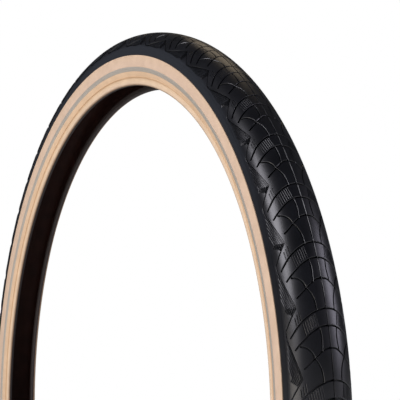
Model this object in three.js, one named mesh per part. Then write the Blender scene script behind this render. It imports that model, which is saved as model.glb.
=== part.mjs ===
// A wire-bead bicycle tyre, 50-622, off its rim, as the separate pieces that are cured together:
// tread, under-tread cushion, puncture breaker, two casing plies, and for each side a sidewall skin,
// a reflective stripe, a chafer strip and a bead core. Millimetres, +Z up, axle along +Y, the origin
// at the wheel's centre.
//
// Every piece is a ring, so each is a section turned about the axle. The section is laid out along
// the tyre's outer surface: a station is the distance along that surface from the middle of the
// tread, and a depth is measured inwards from it, square to it.
import * as THREE from 'three';

// Overall sizes.
const BEAD_SEAT_RADIUS = 311;    // 622 mm bead seat diameter
const SECTION_HEIGHT = 53.3;     // bead seat to the top of the tread
const SECTION_WIDTH = 50.6;
const CROWN_HEIGHT = 19.5;       // widest point to the top of the tread
const BEAD_SPREAD = 29.5;        // between the two bead cores, as the tyre lies free

// Thicknesses of the layers.
const TREAD_THICKNESS = 3.4;
const CUSHION_THICKNESS = 1.2;
const BREAKER_THICKNESS = 0.7;
const PLY_THICKNESS = 0.45;
const SKIN_THICKNESS = 0.9;
const CHAFER_THICKNESS = 0.5;
const STRIPE_THICKNESS = 0.3;
const CORE_RADIUS = 1;           // one hard-drawn steel wire, welded into a hoop
const BOND_LINE = 0.15;          // thickness of the cement between two layers, left as a gap

// Where the layers end, as stations.
const TREAD_EDGE = 41;
const BREAKER_EDGE = 16;
const CUSHION_INSET = 5;         // from the tread's edge back to the cushion's

// Lengths up the sidewall from its foot, where the layers part round the core.
const BEAD_RUN = 6.5;            // the foot itself, up from the flange's top
const TURN_UP_RISE = 8.4;
const STRIPE_RISE = 4.4;         // to the stripe's middle
const STRIPE_WIDTH = 4.6;
const THROAT_HEIGHT = 3.4;       // how far the casing runs straight up from the core's centre

// Groove round the middle of the tread.
const GROOVE_WIDTH = 1.5;
const GROOVE_DEPTH = 1.9;

const SEGMENTS = 48;             // flats round the tyre
const WRAP_ANGLES = [180, 120, 60, 0].map(THREE.MathUtils.degToRad);

// A point of the section has x as its radius and y as its place along the axle.
const at = (radius, across) => new THREE.Vector2(radius, across);
const mirrored = (points) => points.map((p) => at(p.x, -p.y)).reverse();

// Bead, worked out from the core outwards. Angles round the core start at the tyre's outside and
// turn through the bead seat.
const WRAP_INNER = CORE_RADIUS + BOND_LINE;
const WRAP_OUTER = WRAP_INNER + PLY_THICKNESS;
const COVER_INNER = WRAP_OUTER + BOND_LINE;
const COVER_OUTER = COVER_INNER + CHAFER_THICKNESS;
const CORE = at(BEAD_SEAT_RADIUS + COVER_OUTER * Math.sin(WRAP_ANGLES[1]), BEAD_SPREAD / 2);
const HEEL = CORE.y + COVER_INNER + SKIN_THICKNESS;
const roundCore = (radius, angle) =>
  at(CORE.x - radius * Math.sin(angle), CORE.y + radius * Math.cos(angle));

// Outer surface of half the section: a quarter ellipse over the crown, then the sidewall down to
// the top of the flat flange that bears on the rim.
const WIDEST = at(BEAD_SEAT_RADIUS + SECTION_HEIGHT - CROWN_HEIGHT, SECTION_WIDTH / 2);
const FLANGE_TOP = at(CORE.x + THROAT_HEIGHT, HEEL);
const SIDE_HEIGHT = WIDEST.x - FLANGE_TOP.x;
const outline = new THREE.CurvePath();
outline.add(new THREE.EllipseCurve(WIDEST.x, 0, CROWN_HEIGHT, WIDEST.y, 0, Math.PI / 2));
outline.add(new THREE.CubicBezierCurve(
  WIDEST,
  at(WIDEST.x - 0.42 * SIDE_HEIGHT, WIDEST.y),
  at(FLANGE_TOP.x + 0.2 * SIDE_HEIGHT, THREE.MathUtils.lerp(HEEL, WIDEST.y, 0.63)),
  FLANGE_TOP,
));
const OUTLINE_LENGTH = outline.getLength();
const SIDE_FOOT = OUTLINE_LENGTH - BEAD_RUN; // last station where the layers run side by side
const CUSHION_EDGE = TREAD_EDGE - CUSHION_INSET;
const TURN_UP_END = SIDE_FOOT - TURN_UP_RISE;
const STRIPE_MIDDLE = SIDE_FOOT - STRIPE_RISE;

// Every layer bends at these stations, so that neighbouring layers stay parallel.
const SHOULDER = THREE.MathUtils.lerp(BREAKER_EDGE, TREAD_EDGE, 0.52);
const SIDE_MIDDLE = THREE.MathUtils.lerp(TREAD_EDGE, SIDE_FOOT, 0.45);
const KNOTS = [0, BREAKER_EDGE, SHOULDER, TREAD_EDGE, SIDE_MIDDLE, SIDE_FOOT];

function offset(station, depth) {
  const along = station / OUTLINE_LENGTH;
  const tangent = outline.getTangent(along);
  return outline.getPoint(along).addScaledVector(at(-tangent.y, tangent.x), depth);
}

// The point of a layer's face at a station. Between knots the face is straight.
function onFace(depthAt, station) {
  const next = Math.max(1, KNOTS.findIndex((knot) => knot >= station));
  const [a, b] = [KNOTS[next - 1], KNOTS[next]];
  return offset(a, depthAt(a)).lerp(offset(b, depthAt(b)), (station - a) / (b - a));
}

// A layer's face between two stations, with the knots between them.
function face(depthAt, from, to) {
  const inside = KNOTS.filter((knot) => knot > Math.min(from, to) && knot < Math.max(from, to));
  if (from > to) inside.reverse();
  return [from, ...inside, to].map((station) => onFace(depthAt, station));
}

// Depths of the stack of layers, over the crown and down the sides.
const BREAKER_DEPTH = TREAD_THICKNESS + BOND_LINE + CUSHION_THICKNESS + BOND_LINE;
const CROWN_PLY_DEPTH = BREAKER_DEPTH + BREAKER_THICKNESS + BOND_LINE;
const TURN_UP_DEPTH = SKIN_THICKNESS + BOND_LINE;
const SIDE_PLY_DEPTH = TURN_UP_DEPTH + PLY_THICKNESS + BOND_LINE;
const toSide = (station) => THREE.MathUtils.smoothstep(station, BREAKER_EDGE, TREAD_EDGE);
const outerPlyTop = (station) =>
  THREE.MathUtils.lerp(CROWN_PLY_DEPTH, SIDE_PLY_DEPTH, toSide(station));
const outerPlyBottom = (station) => outerPlyTop(station) + PLY_THICKNESS;
const innerPlyTop = (station) => outerPlyBottom(station) + BOND_LINE;
const innerPlyBottom = (station) => innerPlyTop(station) + PLY_THICKNESS;
const outerPlyCover = (station) => outerPlyTop(station) - BOND_LINE;
const treadBottom = (station) =>
  THREE.MathUtils.lerp(TREAD_THICKNESS, SIDE_PLY_DEPTH - BOND_LINE, toSide(station));
const cushionTop = (station) => treadBottom(station) + BOND_LINE;
const level = (depth) => () => depth;

// The corner where the flange meets the sidewall, at a depth: both faces keep that depth.
function flangeCorner(depth) {
  const run = FLANGE_TOP.clone().sub(offset(SIDE_FOOT, 0)).normalize();
  const normals = at(-run.y, run.x).add(at(0, -1));
  return FLANGE_TOP.clone().addScaledVector(normals, (depth * 2) / normals.lengthSq());
}

// Turning sections into solids.
function ring(section) {
  return new THREE.LatheGeometry([...section, section[0]], SEGMENTS);
}

// A ring that spans both sides, from the two faces of its right half, listed from the middle.
function spanningRing(top, bottom) {
  const outside = [...mirrored(top), ...top.slice(1)];
  const inside = [...mirrored(bottom), ...bottom.slice(1)];
  return ring([...outside, ...inside.reverse()]);
}

// The layers that span the tyre.
function treadSection() {
  const half = GROOVE_WIDTH / 2;
  const floor = offset(0, GROOVE_DEPTH).x;
  const surface = [0.25, 0.5, 0.75, 1].map((share) => offset(share * TREAD_EDGE, 0));
  const top = [at(floor, 0), at(floor, half), offset(half, 0), ...surface];
  return spanningRing(top, face(treadBottom, 0, TREAD_EDGE));
}

function cushionSection() {
  const step = BREAKER_EDGE + BOND_LINE;
  const bottom = [
    ...face(level(BREAKER_DEPTH - BOND_LINE), 0, step),
    ...face(outerPlyCover, step, CUSHION_EDGE),
  ];
  return spanningRing(face(cushionTop, 0, CUSHION_EDGE), bottom);
}

function breakerSection() {
  return spanningRing(
    face(level(BREAKER_DEPTH), 0, BREAKER_EDGE),
    face(level(BREAKER_DEPTH + BREAKER_THICKNESS), 0, BREAKER_EDGE),
  );
}

function outerPlySection() {
  return spanningRing(face(outerPlyTop, 0, SIDE_FOOT), face(outerPlyBottom, 0, SIDE_FOOT));
}

// The inner ply turns round each core and back up the sidewall.
function innerPlySection() {
  const fold = (mainDepth, wrapRadius, turnUpDepth) => [
    ...face(mainDepth, 0, SIDE_FOOT),
    at(CORE.x + THROAT_HEIGHT, CORE.y - wrapRadius),
    ...WRAP_ANGLES.map((angle) => roundCore(wrapRadius, angle)),
    flangeCorner(turnUpDepth),
    ...face(level(turnUpDepth), SIDE_FOOT, TURN_UP_END),
  ];
  return spanningRing(
    fold(innerPlyTop, WRAP_INNER, TURN_UP_DEPTH + PLY_THICKNESS),
    fold(innerPlyBottom, WRAP_OUTER, TURN_UP_DEPTH),
  );
}

// The pieces of one side.
function skinSection() {
  const top = TREAD_EDGE + BOND_LINE;
  const step = TURN_UP_END - BOND_LINE;
  const thick = SIDE_PLY_DEPTH - BOND_LINE;
  return [
    ...face(level(0), top, SIDE_FOOT),
    FLANGE_TOP,
    at(CORE.x, HEEL),
    roundCore(COVER_OUTER, WRAP_ANGLES[2]),
    roundCore(COVER_INNER, WRAP_ANGLES[2]),
    roundCore(COVER_INNER, WRAP_ANGLES[3]),
    flangeCorner(SKIN_THICKNESS),
    ...face(level(SKIN_THICKNESS), SIDE_FOOT, step),
    ...face(level(thick), step, top),
  ];
}

function stripeSection() {
  const [from, to] = [STRIPE_MIDDLE - STRIPE_WIDTH / 2, STRIPE_MIDDLE + STRIPE_WIDTH / 2];
  return [
    ...face(level(-BOND_LINE - STRIPE_THICKNESS), from, to),
    ...face(level(-BOND_LINE), to, from),
  ];
}

function chaferSection() {
  const gap = BOND_LINE / COVER_INNER;
  const start = (radius) => roundCore(radius, WRAP_ANGLES[2])
    .lerp(roundCore(radius, WRAP_ANGLES[1]), gap);
  const strip = (radius) => [
    start(radius),
    roundCore(radius, WRAP_ANGLES[1]),
    roundCore(radius, WRAP_ANGLES[0]),
    at(CORE.x + THROAT_HEIGHT, CORE.y - radius),
  ];
  return [...strip(COVER_OUTER), ...strip(COVER_INNER).reverse()];
}

function coreSection() {
  const corners = [0, 1, 2, 3, 4, 5].map((k) => (k * Math.PI) / 3);
  return corners.map((angle) => roundCore(CORE_RADIUS, angle));
}

// Materials.
const material = (color, roughness, metalness = 0) =>
  new THREE.MeshStandardMaterial({ color, roughness, metalness });
const TREAD_RUBBER = material(0x1a1b20, 0.45);
const CUSHION_RUBBER = material(0x26262a, 0.7);
const BREAKER_FABRIC = material(0xb58a3c, 0.8);
const CASING_FABRIC = material(0x2a1c19, 0.8);
const SKIN_RUBBER = material(0xd8bfa5, 0.55);
const REFLECTIVE_FILM = material(0x9c988f, 0.35);
const CHAFER_FABRIC = material(0x2b2320, 0.85);
const BEAD_STEEL = material(0xb08d57, 0.35, 1);

const tyre = new THREE.Group();

function add(name, geometry, finish) {
  const mesh = new THREE.Mesh(geometry, finish);
  mesh.name = name;
  tyre.add(mesh);
}

add('tread_cap', treadSection(), TREAD_RUBBER);
add('tread_cushion', cushionSection(), CUSHION_RUBBER);
add('puncture_breaker', breakerSection(), BREAKER_FABRIC);
add('outer_casing_ply', outerPlySection(), CASING_FABRIC);
add('inner_casing_ply', innerPlySection(), CASING_FABRIC);

for (const [side, turn] of [['right', (points) => points], ['left', mirrored]]) {
  add(`${side}_sidewall_skin`, ring(turn(skinSection())), SKIN_RUBBER);
  add(`${side}_reflective_stripe`, ring(turn(stripeSection())), REFLECTIVE_FILM);
  add(`${side}_chafer_strip`, ring(turn(chaferSection())), CHAFER_FABRIC);
  add(`${side}_bead_core`, ring(turn(coreSection())), BEAD_STEEL);
}

export default tyre;
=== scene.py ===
"""A wire-bead bicycle tyre, 50-622, standing on its tread as it would on a wheel: arc-grooved black
tread, tan sidewalls with a grey reflective stripe, and the dark cord casing showing inside."""
import bisect
import math

import bmesh
import bpy
import numpy as np
from mathutils import Matrix, Vector
from mathutils.geometry import interpolate_bezier


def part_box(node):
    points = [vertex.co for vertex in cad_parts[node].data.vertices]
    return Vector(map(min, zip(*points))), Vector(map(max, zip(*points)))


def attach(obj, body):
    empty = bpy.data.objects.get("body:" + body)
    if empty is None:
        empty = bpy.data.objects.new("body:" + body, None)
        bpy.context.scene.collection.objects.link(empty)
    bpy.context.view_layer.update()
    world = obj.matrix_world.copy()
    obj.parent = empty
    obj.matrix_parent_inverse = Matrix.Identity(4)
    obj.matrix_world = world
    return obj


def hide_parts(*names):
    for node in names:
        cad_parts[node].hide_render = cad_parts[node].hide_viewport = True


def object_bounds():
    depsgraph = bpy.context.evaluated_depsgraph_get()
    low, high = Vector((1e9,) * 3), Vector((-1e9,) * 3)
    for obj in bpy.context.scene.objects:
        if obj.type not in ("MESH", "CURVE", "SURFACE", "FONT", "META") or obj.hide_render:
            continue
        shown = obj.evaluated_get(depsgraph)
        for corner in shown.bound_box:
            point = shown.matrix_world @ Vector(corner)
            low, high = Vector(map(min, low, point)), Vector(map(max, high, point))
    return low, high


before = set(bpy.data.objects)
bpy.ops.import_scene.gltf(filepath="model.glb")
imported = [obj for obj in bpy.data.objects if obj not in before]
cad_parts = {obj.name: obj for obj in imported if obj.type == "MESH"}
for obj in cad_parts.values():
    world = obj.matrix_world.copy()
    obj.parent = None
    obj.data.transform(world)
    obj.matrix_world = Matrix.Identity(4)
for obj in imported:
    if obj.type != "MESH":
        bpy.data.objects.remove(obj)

MM = 0.001  # sizes below are in millimetres, meshes are in metres
CAD_LOW, CAD_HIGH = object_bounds()

# Overall sizes.
CROWN_RADIUS = CAD_HIGH.z / MM
BEAD_SEAT_RADIUS = 311
HALF_WIDTH = 25.3
CROWN_HEIGHT = 19.5
CORE_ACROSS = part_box("right_bead_core")[0].y / MM + 1

# Layers, from the tread inwards.
TREAD_THICKNESS = 3.4
CUSHION_THICKNESS = 1.2
BREAKER_THICKNESS = 0.7
PLY_THICKNESS = 0.45
SKIN_THICKNESS = 0.9
CHAFER_THICKNESS = 0.5
CORE_RADIUS = 1
BOND_LINE = 0.15

# Stations: distances along the tyre's outer surface from the middle of the tread.
TREAD_EDGE = 41
BREAKER_EDGE = 16
CUSHION_EDGE = 36
TURN_UP_END = 50.5
STRIPE_MIDDLE = 54.5
STRIPE_WIDTH = 4.4
RIM_LINE_RADIUS = 318.6  # the fine ring that shows how the tyre sits on its rim

# Steps round the rings.
FINE_STEPS = 288
HIDDEN_STEPS = 144


# ---- The section ----------------------------------------------------------------------------------

def at(radius, across):
    """A point of the section."""
    return Vector((radius, across))


WRAP_INNER = CORE_RADIUS + BOND_LINE
WRAP_OUTER = WRAP_INNER + PLY_THICKNESS
COVER_INNER = WRAP_OUTER + BOND_LINE
COVER_OUTER = COVER_INNER + CHAFER_THICKNESS
SEAT_ANGLE = math.radians(60)  # where the sidewall skin ends and the chafer starts, round the core
CORE = at(BEAD_SEAT_RADIUS + COVER_OUTER * math.sin(SEAT_ANGLE), CORE_ACROSS)
HEEL = CORE.y + COVER_INNER + SKIN_THICKNESS
THROAT_HEIGHT = 3.4

WIDEST = at(CROWN_RADIUS - CROWN_HEIGHT, HALF_WIDTH)
FLANGE_TOP = at(CORE.x + THROAT_HEIGHT, HEEL)
SIDE_HEIGHT = WIDEST.x - FLANGE_TOP.x


def outline_curve():
    """Half of the outer surface: a quarter ellipse over the crown, then the sidewall."""
    crown = []
    for k in range(160):
        turn = math.pi / 2 * k / 160
        crown.append(at(WIDEST.x + CROWN_HEIGHT * math.cos(turn), HALF_WIDTH * math.sin(turn)))
    shoulder = at(WIDEST.x - 0.42 * SIDE_HEIGHT, HALF_WIDTH)
    waist = at(FLANGE_TOP.x + 0.2 * SIDE_HEIGHT, HEEL + 0.63 * (HALF_WIDTH - HEEL))
    side = interpolate_bezier(WIDEST, shoulder, waist, FLANGE_TOP, 120)
    return crown + [Vector(p[:2]) for p in side]


OUTLINE = outline_curve()
OUTLINE_STATIONS = [0.0]
for here, there in zip(OUTLINE, OUTLINE[1:]):
    OUTLINE_STATIONS.append(OUTLINE_STATIONS[-1] + (there - here).length)
OUTLINE_LENGTH = OUTLINE_STATIONS[-1]
SIDE_FOOT = OUTLINE_LENGTH - 6.5


def outline(station):
    """The outer surface's point at a station, and the direction out of the tyre there."""
    k = min(max(bisect.bisect_right(OUTLINE_STATIONS, station), 1), len(OUTLINE) - 1)
    start, end = OUTLINE_STATIONS[k - 1], OUTLINE_STATIONS[k]
    point = OUTLINE[k - 1].lerp(OUTLINE[k], (station - start) / (end - start))
    before, after = OUTLINE[max(k - 2, 0)], OUTLINE[min(k + 1, len(OUTLINE) - 1)]
    run = (after - before).normalized()
    return point, Vector((run.y, -run.x))


def offset(station, depth):
    point, out = outline(station)
    return point - out * depth


def station_of_radius(radius):
    """The station on the sidewall where the outer surface comes down to a radius."""
    for station, point in zip(OUTLINE_STATIONS, OUTLINE):
        if point.x <= radius:
            return station
    return OUTLINE_LENGTH


def smoothstep(start, end, value):
    share = min(max((value - start) / (end - start), 0), 1)
    return share * share * (3 - 2 * share)


def mix(a, b, share):
    return a + (b - a) * share


BREAKER_DEPTH = TREAD_THICKNESS + BOND_LINE + CUSHION_THICKNESS + BOND_LINE
CROWN_PLY_DEPTH = BREAKER_DEPTH + BREAKER_THICKNESS + BOND_LINE
TURN_UP_DEPTH = SKIN_THICKNESS + BOND_LINE
SIDE_PLY_DEPTH = TURN_UP_DEPTH + PLY_THICKNESS + BOND_LINE


def to_side(station):
    return smoothstep(BREAKER_EDGE, TREAD_EDGE, station)


def tread_bottom(station):
    return mix(TREAD_THICKNESS, SIDE_PLY_DEPTH - BOND_LINE, to_side(station))


def cushion_top(station):
    return tread_bottom(station) + BOND_LINE


def outer_ply_top(station):
    return mix(CROWN_PLY_DEPTH, SIDE_PLY_DEPTH, to_side(station))


def outer_ply_cover(station):
    return outer_ply_top(station) - BOND_LINE


def outer_ply_bottom(station):
    return outer_ply_top(station) + PLY_THICKNESS


def inner_ply_top(station):
    return outer_ply_bottom(station) + BOND_LINE


def inner_ply_bottom(station):
    return inner_ply_top(station) + PLY_THICKNESS


def level(depth):
    return lambda station: depth


def face(depth_at, start, end, step=2.0):
    """A layer's face between two stations."""
    count = max(1, math.ceil(abs(end - start) / step))
    stations = [mix(start, end, k / count) for k in range(count + 1)]
    return [offset(s, depth_at(s)) for s in stations]


def round_core(radius, degrees):
    """A point round the bead core, from the tyre's outside (0) through the bead seat (90)."""
    turn = math.radians(degrees)
    return at(CORE.x - radius * math.sin(turn), CORE.y + radius * math.cos(turn))


def core_arc(radius, start, end, step=15):
    count = round(abs(end - start) / step)
    return [round_core(radius, mix(start, end, k / count)) for k in range(count + 1)]


def flange_corner(depth):
    """The corner between flange and sidewall at a depth below both."""
    run = (FLANGE_TOP - offset(SIDE_FOOT, 0)).normalized()
    normals = Vector((-run.y, run.x)) + Vector((0, -1))
    return FLANGE_TOP + normals * (depth * 2 / normals.length_squared)


def mirrored(points):
    return [at(p.x, -p.y) for p in reversed(points)]


def spanning(top, bottom):
    """A section that spans both sides, from the two faces of its right half."""
    outside = mirrored(top)[:-1] + top
    inside = mirrored(bottom)[:-1] + bottom
    return outside + inside[::-1]


# ---- Making pieces --------------------------------------------------------------------------------

def finished(name, bm, finish, node):
    """Turns a bmesh into a piece that stands for a node."""
    mesh = bpy.data.meshes.new(name)
    bm.to_mesh(mesh)
    bm.free()
    mesh.materials.append(finish)
    piece = bpy.data.objects.new(name, mesh)
    bpy.context.scene.collection.objects.link(piece)
    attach(piece, "root")
    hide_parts(node)
    return piece


def shade(bm, sharp_degrees=35):
    """Smooth faces with hard edges kept at corners."""
    limit = math.radians(sharp_degrees)
    for f in bm.faces:
        f.smooth = True
    for e in bm.edges:
        e.smooth = e.calc_face_angle(0) < limit


def ring(name, section, steps, finish, node):
    """A closed section turned about the axle."""
    bm = bmesh.new()
    verts = [bm.verts.new((0, p.y * MM, p.x * MM)) for p in section]
    edges = [bm.edges.new(pair) for pair in zip(verts, verts[1:] + verts[:1])]
    bmesh.ops.spin(bm, geom=verts + edges, cent=(0, 0, 0), axis=(0, 1, 0), dvec=(0, 0, 0),
                   angle=2 * math.pi, steps=steps, use_merge=True, use_duplicate=False)
    bmesh.ops.recalc_face_normals(bm, faces=bm.faces)
    shade(bm)
    return finished(name, bm, finish, node)


# ---- Materials ------------------------------------------------------------------------------------

def linear(hex_colour):
    """An sRGB hex colour as linear RGBA."""
    parts = [int(hex_colour[k:k + 2], 16) / 255 for k in (1, 3, 5)]
    return [p / 12.92 if p <= 0.04045 else ((p + 0.055) / 1.055) ** 2.4 for p in parts] + [1]


def node(tree, kind, links=None, **settings):
    """Adds a node: settings are its properties or, by socket name, its inputs' values."""
    made = tree.nodes.new(kind)
    for key, value in settings.items():
        if key in made.bl_rna.properties:
            setattr(made, key, value)
        else:
            made.inputs[key.replace("_", " ")].default_value = value
    for socket, source in (links or {}).items():
        tree.links.new(source, made.inputs[socket])
    return made


def ramp(tree, factor, *stops):
    """A colour ramp from (position, hex colour) stops."""
    made = node(tree, "ShaderNodeValToRGB", {"Fac": factor})
    elements = made.color_ramp.elements
    while len(elements) < len(stops):
        elements.new(0.5)
    for element, (position, colour) in zip(elements, stops):
        element.position = position
        element.color = linear(colour)
    return made.outputs["Color"]


def material(name):
    """A new material, with its tree, its shader and its object coordinates."""
    made = bpy.data.materials.new(name)
    made.use_nodes = True
    tree = made.node_tree
    shader = tree.nodes["Principled BSDF"]
    return made, tree, shader, node(tree, "ShaderNodeTexCoord").outputs["Object"]


def per_metre(size_mm):
    """A noise scale whose blotches are about this many millimetres across."""
    return 1 / (size_mm * MM)


def noise(tree, coords, size_mm, detail=3, roughness=0.5):
    made = node(tree, "ShaderNodeTexNoise", {"Vector": coords}, Scale=per_metre(size_mm),
                Detail=detail, Roughness=roughness)
    return made.outputs["Fac"]


def bump(tree, height, depth_mm, strength=1.0):
    made = node(tree, "ShaderNodeBump", {"Height": height}, Strength=strength, Distance=depth_mm * MM)
    return made.outputs["Normal"]


def ring_coordinates(tree, coords):
    """The place round the tyre as an angle in radians, the place across it, and the radius."""
    parts = node(tree, "ShaderNodeSeparateXYZ", {"Vector": coords}).outputs
    turn = node(tree, "ShaderNodeMath", {0: parts["X"], 1: parts["Z"]}, operation="ARCTAN2")
    flat = node(tree, "ShaderNodeCombineXYZ", {"X": parts["X"], "Y": parts["Z"]})
    radius = node(tree, "ShaderNodeVectorMath", {0: flat.outputs["Vector"]}, operation="LENGTH")
    return turn.outputs["Value"], parts["Y"], radius.outputs["Value"]


def threads(tree, turn, across, count, spacing_mm, lean):
    """Parallel threads laid at a slant: count of them round the tyre, one per spacing across it."""
    along = node(tree, "ShaderNodeMath", {0: turn}, operation="MULTIPLY")
    along.inputs[1].default_value = count
    over = node(tree, "ShaderNodeMath", {0: across, 2: along.outputs["Value"]}, operation="MULTIPLY_ADD")
    over.inputs[1].default_value = lean * 2 * math.pi / (spacing_mm * MM)
    wave = node(tree, "ShaderNodeMath", {0: over.outputs["Value"]}, operation="SINE")
    return wave.outputs["Value"]


def tread_rubber():
    """Carbon-black tread rubber, press moulded: nearly black with a cool cast, satin, with soft
    broad highlights that a fine mould grain breaks up."""
    made, tree, shader, coords = material("moulded_black_tread_rubber")
    cloud = noise(tree, coords, 22, detail=4)
    grain = noise(tree, coords, 0.5, detail=2)
    colour = ramp(tree, cloud, (0.3, "#07080C"), (0.7, "#0C0D12"))
    gloss = node(tree, "ShaderNodeMapRange", {"Value": cloud}, To_Min=0.27, To_Max=0.38)
    tree.links.new(colour, shader.inputs["Base Color"])
    tree.links.new(gloss.outputs["Result"], shader.inputs["Roughness"])
    tree.links.new(bump(tree, grain, 0.02, 0.5), shader.inputs["Normal"])
    shader.inputs["IOR"].default_value = 1.52
    return made


def sidewall_rubber():
    """Tan gum-coloured sidewall rubber, press moulded: warm matt skin with faint cloudy mottling,
    with painted shade darkening it towards the bead's toe and a painted shade band along the rim line."""
    made, tree, shader, coords = material("moulded_tan_sidewall_rubber")
    _, _, radius = ring_coordinates(tree, coords)
    cloud = noise(tree, coords, 14, detail=5, roughness=0.6)
    grain = noise(tree, coords, 0.6, detail=2)
    height = node(tree, "ShaderNodeMapRange", {"Value": radius}, From_Min=0.311, From_Max=0.341)
    # Colour by radius: the dark stop at 0.0 is painted shade towards the bead's toe, and the darker stop at
    # 0.245 is a painted shade band along the moulded rim line.
    radial_tone_and_painted_shade = ramp(tree, height.outputs["Result"],
                 (0.0, "#80654C"), (0.06, "#CDB69B"), (0.2, "#D4B998"), (0.245, "#BC9670"),
                 (0.27, "#CFB08D"), (0.5, "#CFB293"), (0.62, "#CAB19A"), (1.0, "#C9AF93"))
    shade_of = ramp(tree, cloud, (0.3, "#F0EEEC"), (0.7, "#FFFFFF"))
    mottled_tone_and_painted_shade = node(tree, "ShaderNodeMix", {"A": radial_tone_and_painted_shade, "B": shade_of}, data_type="RGBA", blend_type="MULTIPLY")
    mottled_tone_and_painted_shade.inputs[0].default_value = 1
    tree.links.new(mottled_tone_and_painted_shade.outputs["Result"], shader.inputs["Base Color"])
    tree.links.new(bump(tree, grain, 0.02, 0.4), shader.inputs["Normal"])
    shader.inputs["Roughness"].default_value = 0.55
    shader.inputs["IOR"].default_value = 1.5
    return made


def reflective_film():
    """Retroreflective glass-bead film cured into the sidewall: flat grey with a fine sparkle."""
    made, tree, shader, coords = material("glass_bead_reflective_film")
    beads = node(tree, "ShaderNodeTexVoronoi", {"Vector": coords}, Scale=per_metre(0.4))
    colour = ramp(tree, beads.outputs["Distance"], (0.1, "#BDB6A9"), (0.7, "#A29B8F"))
    tree.links.new(colour, shader.inputs["Base Color"])
    tree.links.new(bump(tree, beads.outputs["Distance"], 0.02, 0.4), shader.inputs["Normal"])
    shader.inputs["Roughness"].default_value = 0.38
    shader.inputs["Metallic"].default_value = 0.25
    return made


def casing_fabric(name, dark, light):
    """Nylon cord fabric skimmed with rubber: fine parallel cords on one slant under a dull skin."""
    made, tree, shader, coords = material(name)
    turn, across, _ = ring_coordinates(tree, coords)
    # Cords of 0.6 mm are drawn 1.2 mm apart so that they show.
    one = threads(tree, turn, across, 1320, 1.7, 1)
    cloud = noise(tree, coords, 18, detail=4)
    colour = ramp(tree, cloud, (0.3, dark), (0.7, light))
    tree.links.new(colour, shader.inputs["Base Color"])
    tree.links.new(bump(tree, one, 0.08, 0.6), shader.inputs["Normal"])
    shader.inputs["Roughness"].default_value = 0.68
    shader.inputs["Specular IOR Level"].default_value = 0.25
    return made


def chafer_fabric():
    """Open plain-woven nylon strip, rubbered: a small square weave, dark brown."""
    made, tree, shader, coords = material("woven_chafer_fabric")
    turn, across, _ = ring_coordinates(tree, coords)
    warp = threads(tree, turn, across, 1400, 1, 0)
    weft = threads(tree, turn, across, 0, 1.2, 1)
    weave = node(tree, "ShaderNodeMath", {0: warp, 1: weft}, operation="MULTIPLY")
    colour = ramp(tree, weave.outputs["Value"], (0.0, "#150B07"), (0.6, "#22140D"))
    tree.links.new(colour, shader.inputs["Base Color"])
    tree.links.new(bump(tree, weave.outputs["Value"], 0.12, 0.7), shader.inputs["Normal"])
    shader.inputs["Roughness"].default_value = 0.7
    return made


def cushion_rubber():
    """Calendered cushion gum: plain dull black sheet."""
    made, tree, shader, coords = material("calendered_cushion_rubber")
    colour = ramp(tree, noise(tree, coords, 9), (0.3, "#202024"), (0.7, "#2B2B2F"))
    tree.links.new(colour, shader.inputs["Base Color"])
    shader.inputs["Roughness"].default_value = 0.7
    return made


def breaker_fabric():
    """Aramid breaker cloth, plain woven: mustard yellow threads about a millimetre apart."""
    made, tree, shader, coords = material("woven_aramid_breaker")
    turn, across, _ = ring_coordinates(tree, coords)
    warp = threads(tree, turn, across, 2200, 1, 0)
    weft = threads(tree, turn, across, 0, 1, 1)
    weave = node(tree, "ShaderNodeMath", {0: warp, 1: weft}, operation="MULTIPLY")
    colour = ramp(tree, weave.outputs["Value"], (0.0, "#A67C30"), (0.7, "#C79A4B"))
    tree.links.new(colour, shader.inputs["Base Color"])
    tree.links.new(bump(tree, weave.outputs["Value"], 0.15, 0.7), shader.inputs["Normal"])
    shader.inputs["Roughness"].default_value = 0.75
    return made


def bead_wire_steel():
    """Hard-drawn steel wire with a thin bronze coat, which the rubber bonds to."""
    made, tree, shader, coords = material("bronze_coated_drawn_wire")
    colour = ramp(tree, noise(tree, coords, 6), (0.3, "#A6824E"), (0.7, "#C29D66"))
    tree.links.new(colour, shader.inputs["Base Color"])
    shader.inputs["Metallic"].default_value = 1
    shader.inputs["Roughness"].default_value = 0.32
    return made


# ---- The tread ------------------------------------------------------------------------------------

# One repeat of the pattern is cut in a flat slab, with x as the station, y as the way round the tyre
# and z as the height over the outer surface, and then laid round the crown.
REPEATS = 47
PITCH = 2 * math.pi * CROWN_RADIUS / REPEATS
FIRST_ARC_ANGLE = math.radians(75.23)  # where the first arc of a repeat leaves the middle groove
SLAB_START = -6.0

SHOULDER_STEP = 0.5  # how far the shoulder lies below the blocks
SHOULDER_IN, SHOULDER_OUT = 31.5, 35.0
FAR_LEAN = 0.12  # how much earlier round the tyre the right half's grooves come, per mm across

# Each groove: width, depth, and points as (station, way round).
ARC_A = [(0, 0), (5, 1), (10, 3), (15, 6), (20, 10), (24, 14.5), (28.3, 19.5)]
ARC_B = [(0, 12), (4.5, 12.7), (9.5, 14.8), (14, 17.7), (18, 21), (22, 24.5), (25.5, 28)]
ARC_C = [(0, 27.2), (4.5, 28.2), (8, 30.8), (12, 34), (16, 37.5), (20.3, 41)]
BLOCK_TOP_D = [(21.8, 25.6), (17.8, 26.8), (14.8, 29.3), (13.2, 32.3), (12.6, 34.5)]
LINK_E = [(12.3, 34.4), (9.8, 38.4), (8.2, 42.8), (7.4, 50.4)]
LINK_F = [(7, 13.8), (6.2, 20.5), (7, 29.8)]
CORNER = Vector((21.8, -1.2))
POINT_OUT = Vector((31.4, 13.8))
POINT_LOW = Vector((31.2, 19.6))
ZIGZAG = [CORNER, POINT_OUT, POINT_LOW, CORNER + Vector((0, PITCH))]
HATCH_COUNT = 7
HATCH_GAP = 1.55
FINE_LINES = 5
FINE_GAP = 1.35
FINE_STAGGER = 3.5  # each line starts this much lower than the one inside it
FINE_RETURN = 6


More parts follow.
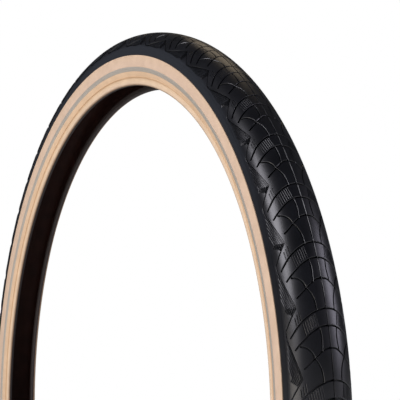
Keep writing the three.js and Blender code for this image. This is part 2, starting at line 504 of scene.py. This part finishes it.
def arc_height(arc, station):
    """How far round the tyre an arc is at a station."""
    for (s0, u0), (s1, u1) in zip(arc, arc[1:]):
        if s0 <= station <= s1:
            return mix(u0, u1, (station - s0) / (s1 - s0))
    return arc[-1][1]


def hatch_bars():
    """Short slanted cuts between the first two arcs."""
    bars = []
    for k in range(HATCH_COUNT):
        outer = 18.6 - k * HATCH_GAP
        inner = outer - 1.7
        bars.append([(outer, arc_height(ARC_A, outer) + 1.1), (inner, arc_height(ARC_B, inner) - 1.6)])
    return bars


def corner_bars():
    """Short cuts on the first block, beside the zigzag's corner."""
    bars = []
    for outer in (22.6, 20.9, 19.2):
        top = arc_height(ARC_A, outer) - 1.4
        bars.append([(outer + 0.7, top - 6), (outer, top)])
    return bars


def fine_lines():
    """Thin lines outside the zigzag's long flank, each turning back at the corner."""
    corner = ZIGZAG[3]
    flank = (corner - POINT_LOW).normalized()
    short = (POINT_OUT - CORNER).normalized()
    out_flank, out_short = Vector((flank.y, -flank.x)), Vector((short.y, -short.x))
    spread = (out_flank + out_short) / (1 + out_flank.dot(out_short))
    lines = []
    for k in range(1, FINE_LINES + 1):
        start = POINT_LOW + out_flank * (FINE_GAP * k) + flank * (FINE_STAGGER * k)
        apex = corner + spread * (FINE_GAP * k)
        lines.append([start, apex, apex + short * (FINE_RETURN - 0.6 * k)])
    return lines


def groove_profile(name, width, depth, lip, slope):
    """A groove's cross section, with lips that slope down into it from its mouth."""
    foot, wall, clear = 0.4 * width, 0.5 * width, 0.12
    mouth = wall + lip + clear / slope
    points = [(-foot, -depth), (foot, -depth), (wall, -lip * slope), (mouth, clear), (-mouth, clear),
              (-wall, -lip * slope)]
    curve = bpy.data.curves.new(name, "CURVE")
    curve.dimensions = "2D"
    spline = curve.splines.new("POLY")
    spline.points.add(len(points) - 1)
    for place, (x, y) in zip(spline.points, points):
        place.co = (x, y, 0, 1)
    spline.use_cyclic_u = True
    return bpy.data.objects.new(name, curve)


def sweep_groove(bm, path, profile, smooth, hand, shift):
    """Adds a groove's cutter to bm: the profile carried along a path."""
    curve = bpy.data.curves.new("groove", "CURVE")
    curve.dimensions = "3D"
    curve.twist_mode = "Z_UP"
    curve.bevel_mode = "OBJECT"
    curve.bevel_object = profile
    curve.use_fill_caps = True
    curve.resolution_u = 3
    lean = FAR_LEAN if hand > 0 else 0
    places = [(hand * s, u + shift - lean * s) for s, u in path]
    if smooth:
        spline = curve.splines.new("BEZIER")
        spline.bezier_points.add(len(places) - 1)
        for point, (s, u) in zip(spline.bezier_points, places):
            point.co = (s, u, 0)
            point.handle_left_type = point.handle_right_type = "AUTO"
    else:
        spline = curve.splines.new("POLY")
        spline.points.add(len(places) - 1)
        for point, (s, u) in zip(spline.points, places):
            point.co = (s, u, 0, 1)
    sweep = bpy.data.objects.new("groove", curve)
    bpy.context.scene.collection.objects.link(sweep)
    shape = bpy.data.meshes.new_from_object(sweep.evaluated_get(bpy.context.evaluated_depsgraph_get()))
    bm.from_mesh(shape)
    bpy.data.objects.remove(sweep)
    bpy.data.meshes.remove(shape)


def shoulder_cutter(bm, hand):
    """Adds the slab that drops the shoulder below the blocks, outside the zigzag."""
    lean = FAR_LEAN if hand > 0 else 0
    edge = []
    for repeat in (-1, 0, 1):
        edge += [p + Vector((0, repeat * PITCH)) for p in ZIGZAG[:3]]
    far = SHOULDER_OUT - 0.4
    edge += [Vector((far, edge[-1].y)), Vector((far, edge[0].y))]
    verts = [bm.verts.new((hand * p.x, p.y - lean * p.x, -SHOULDER_STEP)) for p in edge]
    base = bm.faces.new(verts)
    raised = bmesh.ops.extrude_face_region(bm, geom=[base])["geom"]
    bmesh.ops.translate(bm, verts=[v for v in raised if isinstance(v, bmesh.types.BMVert)], vec=(0, 0, 1.5))


def pattern_cutters():
    """Every cut of one repeat, and of its neighbours where they reach over."""
    bm = bmesh.new()
    main = groove_profile("main_groove", 0.95, 1.7, 0.32, 1)
    link = groove_profile("link_groove", 0.85, 1.6, 0.16, 1)
    middle = groove_profile("middle_groove", 0.7, 1.6, 0.16, 1)
    edge = groove_profile("block_edge_groove", 0.8, 1.3, 0.3, 0.7)
    hatch = groove_profile("hatch_groove", 0.45, 0.8, 0.2, 0.6)
    fine = groove_profile("fine_groove", 0.3, 0.7, 0.26, 0.5)
    cuts = [(path, main, True) for path in (ARC_A, ARC_B, ARC_C, BLOCK_TOP_D)]
    cuts += [(path, link, True) for path in (LINK_E, LINK_F)]
    cuts += [(path, hatch, False) for path in hatch_bars() + corner_bars()]
    cuts += [(path, fine, False) for path in fine_lines()]
    cuts.append((ZIGZAG, edge, False))
    for path, profile, smooth in cuts:
        low, high = min(u for _, u in path), max(u for _, u in path)
        for repeat in (-1, 0, 1):
            shift = repeat * PITCH
            if high + shift < SLAB_START - 2 or low + shift > SLAB_START + PITCH + 6:
                continue
            for hand in (-1, 1):
                sweep_groove(bm, path, profile, smooth, hand, shift)
    sweep_groove(bm, [(0, -PITCH), (0, 2 * PITCH)], middle, False, -1, 0)
    shoulder_cutter(bm, -1)
    shoulder_cutter(bm, 1)
    bmesh.ops.recalc_face_normals(bm, faces=bm.faces)
    for profile in (main, link, middle, edge, hatch, fine):
        bpy.data.objects.remove(profile)
    return bm


def surface_drop(station):
    return SHOULDER_STEP * smoothstep(SHOULDER_IN, SHOULDER_OUT, abs(station))


def plain_slab():
    """One repeat of the tread before it is cut."""
    bm = bmesh.new()
    bmesh.ops.create_grid(bm, x_segments=36, y_segments=6, size=0.5)
    bmesh.ops.scale(bm, verts=bm.verts, vec=(2 * TREAD_EDGE, PITCH, 1))
    bmesh.ops.translate(bm, verts=bm.verts, vec=(0, SLAB_START + PITCH / 2, 0))
    top = list(bm.verts)
    below = bmesh.ops.extrude_face_region(bm, geom=list(bm.faces), use_keep_orig=True)["geom"]
    for v in top:
        v.co.z = -surface_drop(v.co.x)
    for v in below:
        if isinstance(v, bmesh.types.BMVert):
            v.co.z = -tread_bottom(abs(v.co.x))
    bmesh.ops.recalc_face_normals(bm, faces=bm.faces)
    return bm


def as_object(name, bm):
    mesh = bpy.data.meshes.new(name)
    bm.to_mesh(mesh)
    bm.free()
    made = bpy.data.objects.new(name, mesh)
    bpy.context.scene.collection.objects.link(made)
    return made


def cut_slab():
    """The slab with the pattern cut in it."""
    slab = as_object("slab", plain_slab())
    cutters = as_object("cutters", pattern_cutters())
    cut = slab.modifiers.new("pattern", "BOOLEAN")
    cut.operation = "DIFFERENCE"
    cut.solver = "EXACT"
    cut.use_self = True
    cut.object = cutters
    bm = bmesh.new()
    bm.from_object(slab, bpy.context.evaluated_depsgraph_get())
    bpy.data.objects.remove(slab)
    bpy.data.objects.remove(cutters)
    return bm


def tread_mesh():
    """The slab laid round the crown and repeated. Each vertex keeps its station, and each face of
    the running surface is marked."""
    bm = cut_slab()
    ends = (SLAB_START, SLAB_START + PITCH)
    open_ends = [f for f in bm.faces
                 if any(all(abs(v.co.y - end) < 1e-3 for v in f.verts) for end in ends)]
    bmesh.ops.delete(bm, geom=open_ends, context="FACES")
    bmesh.ops.triangulate(bm, faces=bm.faces)
    station = bm.verts.layers.float.new("station")
    running = bm.faces.layers.int.new("running")
    for f in bm.faces:
        near_top = all(abs(v.co.z + surface_drop(v.co.x)) < 0.06 for v in f.verts)
        lowered = all(abs(v.co.z + SHOULDER_STEP) < 1e-3 for v in f.verts)
        f[running] = int(f.normal.z > 0.9 and (near_top or lowered))
    for v in bm.verts:
        v[station] = v.co.x
        point, out = outline(abs(v.co.x))
        place = point + out * v.co.z
        turn = FIRST_ARC_ANGLE + v.co.y / CROWN_RADIUS
        across = math.copysign(place.y, v.co.x)
        v.co = Vector((place.x * math.sin(turn), across, place.x * math.cos(turn))) * MM
    bmesh.ops.reverse_faces(bm, faces=bm.faces)
    bmesh.ops.spin(bm, geom=bm.verts[:] + bm.edges[:] + bm.faces[:], cent=(0, 0, 0), axis=(0, 1, 0),
                   dvec=(0, 0, 0), angle=2 * math.pi * (REPEATS - 1) / REPEATS, steps=REPEATS - 1,
                   use_merge=False, use_duplicate=True)
    bmesh.ops.remove_doubles(bm, verts=bm.verts, dist=0.01 * MM)
    shade(bm, 30)
    return bm


def round_the_running_surface(piece):
    """Gives the running surface the crown's own normals, so that its highlights run smoothly."""
    mesh = piece.data
    places = np.empty(len(mesh.vertices) * 3)
    mesh.vertices.foreach_get("co", places)
    places = places.reshape(-1, 3)
    stations = np.empty(len(mesh.vertices), np.float32)
    mesh.attributes["station"].data.foreach_get("value", stations)
    steps = np.linspace(0, TREAD_EDGE, 200)
    outs = np.array([outline(s)[1][:] for s in steps])
    radial = np.interp(np.abs(stations), steps, outs[:, 0])
    across = np.interp(np.abs(stations), steps, outs[:, 1]) * np.sign(stations)
    turn = np.arctan2(places[:, 0], places[:, 2])
    crown = np.stack([radial * np.sin(turn), across, radial * np.cos(turn)], axis=1)
    running = np.empty(len(mesh.polygons), np.int32)
    mesh.attributes["running"].data.foreach_get("value", running)
    corners = np.empty(len(mesh.loops), np.int32)
    mesh.loops.foreach_get("vertex_index", corners)
    sizes = np.empty(len(mesh.polygons), np.int32)
    mesh.polygons.foreach_get("loop_total", sizes)
    on_surface = np.repeat(running, sizes)[:, None]
    mesh.normals_split_custom_set((crown[corners] * on_surface).tolist())


def make_tread(finish):
    piece = finished("tread", tread_mesh(), finish, "tread_cap")
    round_the_running_surface(piece)


# ---- The layers under the tread and the casing ----------------------------------------------------

def make_layers():
    step = BREAKER_EDGE + BOND_LINE
    cushion = spanning(
        face(cushion_top, 0, CUSHION_EDGE),
        face(level(BREAKER_DEPTH - BOND_LINE), 0, step) + face(outer_ply_cover, step, CUSHION_EDGE),
    )
    ring("cushion", cushion, HIDDEN_STEPS, cushion_rubber(), "tread_cushion")
    breaker = spanning(
        face(level(BREAKER_DEPTH), 0, BREAKER_EDGE),
        face(level(BREAKER_DEPTH + BREAKER_THICKNESS), 0, BREAKER_EDGE),
    )
    ring("breaker", breaker, HIDDEN_STEPS, breaker_fabric(), "puncture_breaker")
    cords = casing_fabric("rubbered_nylon_cord", "#260F08", "#32170E")
    outer = spanning(face(outer_ply_top, 0, SIDE_FOOT), face(outer_ply_bottom, 0, SIDE_FOOT))
    ring("outer_ply", outer, HIDDEN_STEPS, cords, "outer_casing_ply")

    def fold(main_depth, wrap_radius, turn_up_depth):
        return (
            face(main_depth, 0, SIDE_FOOT)
            + [at(CORE.x + THROAT_HEIGHT, CORE.y - wrap_radius)]
            + core_arc(wrap_radius, 180, 0)
            + [flange_corner(turn_up_depth)]
            + face(level(turn_up_depth), SIDE_FOOT, TURN_UP_END)
        )

    inner = spanning(
        fold(inner_ply_top, WRAP_INNER, TURN_UP_DEPTH + PLY_THICKNESS),
        fold(inner_ply_bottom, WRAP_OUTER, TURN_UP_DEPTH),
    )
    ring("inner_ply", inner, FINE_STEPS, cords, "inner_casing_ply")


# ---- The sides ------------------------------------------------------------------------------------

RIM_LINE = station_of_radius(RIM_LINE_RADIUS)
SKIN_TOP = TREAD_EDGE + BOND_LINE
STRIPE_BED = (STRIPE_MIDDLE - STRIPE_WIDTH / 2, STRIPE_MIDDLE + STRIPE_WIDTH / 2)
# Fine moulded rings: station, height over the skin, half width.
MOULDED_RINGS = [(SKIN_TOP + 0.9, 0.12, 0.5), (RIM_LINE, 0.35, 0.45)]


def relief(station):
    """How far the skin stands out at a station."""
    height = 0
    for middle, rise, half in MOULDED_RINGS:
        height += rise * smoothstep(half, 0, abs(station - middle))
    return height


def skin_section():
    """The tan skin: sidewall, flange and heel, then back up inside."""
    stations = [mix(SKIN_TOP, OUTLINE_LENGTH - 1.5, k / 30) for k in range(31)]
    for middle, rise, half in MOULDED_RINGS:
        stations += [middle + half * share for share in (-1, -0.6, -0.25, 0, 0.25, 0.6, 1)]
    stations = sorted(s for s in set(stations) if s >= SKIN_TOP)
    outside = [offset(s, -relief(s)) for s in stations]
    foot = outside[-1]
    flange_bend = interpolate_bezier(foot, foot.lerp(FLANGE_TOP, 0.7), FLANGE_TOP + at(-0.6, 0),
                                     FLANGE_TOP + at(-1.4, 0), 6)
    seat_end = round_core(COVER_OUTER, 60)
    heel = interpolate_bezier(at(CORE.x, HEEL), at(CORE.x - 1.2, HEEL), seat_end + at(0, 1.0), seat_end, 8)
    step = TURN_UP_END - BOND_LINE
    thick = SIDE_PLY_DEPTH - BOND_LINE
    inside = (
        core_arc(COVER_INNER, 60, 0)
        + [flange_corner(SKIN_THICKNESS)]
        + face(level(SKIN_THICKNESS), SIDE_FOOT, step)
        + face(level(thick), step, SKIN_TOP)
    )
    bend = [Vector(p[:2]) for p in flange_bend[1:]] + [Vector(p[:2]) for p in heel]
    return outside + bend + inside


def stripe_section():
    """The film: a thin strip with rounded edges, a hair proud of the skin."""
    low, high = STRIPE_BED
    proud = 0.28
    top = [offset(low, -0.16)] + face(level(-proud), low + 0.25, high - 0.25, 0.8) + [offset(high, -0.16)]
    return top + face(level(-0.03), high, low, 0.8)


def chafer_section():
    """The strip round the toe: from the bead seat round the core and up the throat."""
    gap = math.degrees(BOND_LINE / COVER_INNER)
    throat = CORE.x + THROAT_HEIGHT
    outside = core_arc(COVER_OUTER, 60 + gap, 180, 10) + [at(throat, CORE.y - COVER_OUTER)]
    inside = core_arc(COVER_INNER, 60 + gap, 180, 10) + [at(throat, CORE.y - COVER_INNER)]
    return outside + inside[::-1]


def make_sides():
    skin, film = sidewall_rubber(), reflective_film()
    fabric, wire = chafer_fabric(), bead_wire_steel()
    core = core_arc(CORE_RADIUS, 0, 360, 30)[:-1]
    for side, turned in (("right", lambda points: points), ("left", mirrored)):
        ring(f"{side}_skin", turned(skin_section()), FINE_STEPS, skin,
             f"{side}_sidewall_skin")
        ring(f"{side}_stripe", turned(stripe_section()), FINE_STEPS, film,
             f"{side}_reflective_stripe")
        ring(f"{side}_chafer", turned(chafer_section()), FINE_STEPS, fabric,
             f"{side}_chafer_strip")
        ring(f"{side}_core", turned(core), HIDDEN_STEPS, wire, f"{side}_bead_core")


# ---- The studio -----------------------------------------------------------------------------------

CENTRE_OF_VIEW = Vector((0.3, 0, 0.1))
LAMP_DISTANCE = 2
# Each lamp: name, direction from the centre of view, size in metres, watts and colour.
SOFTBOXES = [
    ("left_softbox", (0.25, -0.82, 0.51), (1.0, 1.2), 35, "#F8F6FF"),
    ("low_softbox", (0.0, -0.98, -0.12), (1.8, 0.4), 11, "#FFF6EC"),
    ("right_softbox", (0.47, 0.83, 0.28), (0.7, 0.9), 10, "#F0ECFF"),
    ("back_softbox", (-0.75, -0.5, 0.42), (0.9, 0.9), 0.8, "#DCE8FF"),
    ("top_softbox", (-0.4, 0.36, 0.84), (0.6, 0.6), 1.3, "#FFE9C8"),
]
CAMERA_PLACE = (0.8676, -0.3746, -0.0225)
CAMERA_AIM = (-0.852, 0.471, 0.2289)
CAMERA_ROLL = -2.34  # degrees
FLOOR_HALF = 20  # metres from its middle to its edge
FLOOR_DROP = 0.0005  # keeps the floor just clear of the tread
FLOOR_GLOW = 0.45


def look(direction, roll_degrees=0):
    """A turn that looks along a direction, rolled about it."""
    turn = Vector(direction).to_track_quat("-Z", "Y").to_matrix()
    return (turn @ Matrix.Rotation(math.radians(roll_degrees), 3, "Z")).to_4x4()


def softbox(name, place, aim, size, watts, colour):
    lamp = bpy.data.lights.new(name, "AREA")
    lamp.shape = "RECTANGLE"
    lamp.size, lamp.size_y = size
    lamp.energy = watts
    lamp.color = linear(colour)[:3]
    made = bpy.data.objects.new(name, lamp)
    bpy.context.scene.collection.objects.link(made)
    made.matrix_world = Matrix.Translation(place) @ look(Vector(aim) - Vector(place))


def make_floor():
    """A plain pale floor under the tyre, lit a little from below like a light table."""
    bm = bmesh.new()
    bmesh.ops.create_grid(bm, x_segments=1, y_segments=1, size=FLOOR_HALF)
    bmesh.ops.translate(bm, verts=bm.verts, vec=(0, 0, CAD_LOW.z - FLOOR_DROP))
    floor = as_object("floor", bm)
    made, tree, shader, coords = material("backlit_matt_acrylic")
    colour = ramp(tree, noise(tree, coords, 300), (0.3, "#F1F1F1"), (0.7, "#F4F4F4"))
    tree.links.new(colour, shader.inputs["Base Color"])
    tree.links.new(colour, shader.inputs["Emission Color"])
    shader.inputs["Emission Strength"].default_value = FLOOR_GLOW
    shader.inputs["Roughness"].default_value = 0.9
    floor.data.materials.append(made)


def make_world():
    """White all round for the eye, and a softer grey for the light it gives."""
    world = bpy.data.worlds.new("studio")
    world.use_nodes = True
    bpy.context.scene.world = world
    tree = world.node_tree
    tree.nodes.clear()
    seen = node(tree, "ShaderNodeBackground", Strength=1.0)
    seen.inputs["Color"].default_value = linear("#FFFFFF")
    given = node(tree, "ShaderNodeBackground", Strength=0.06)
    given.inputs["Color"].default_value = linear("#F4F6FF")
    path = node(tree, "ShaderNodeLightPath")
    both = node(tree, "ShaderNodeMixShader", {0: path.outputs["Is Camera Ray"],
                                              1: given.outputs["Background"],
                                              2: seen.outputs["Background"]})
    node(tree, "ShaderNodeOutputWorld", {"Surface": both.outputs["Shader"]})


def make_camera():
    camera = bpy.data.cameras.new("camera")
    camera.sensor_width = 36
    camera.lens = 82.16
    camera.clip_start, camera.clip_end = 0.05, 20
    made = bpy.data.objects.new("camera", camera)
    bpy.context.scene.collection.objects.link(made)
    made.matrix_world = Matrix.Translation(CAMERA_PLACE) @ look(CAMERA_AIM, CAMERA_ROLL)
    bpy.context.scene.camera = made


bpy.context.scene.view_settings.view_transform = "Standard"
make_camera()
make_world()
make_floor()
for name, direction, size, watts, colour in SOFTBOXES:
    softbox(name, CENTRE_OF_VIEW + LAMP_DISTANCE * Vector(direction), CENTRE_OF_VIEW, size, watts, colour)
make_tread(tread_rubber())
make_layers()
make_sides()
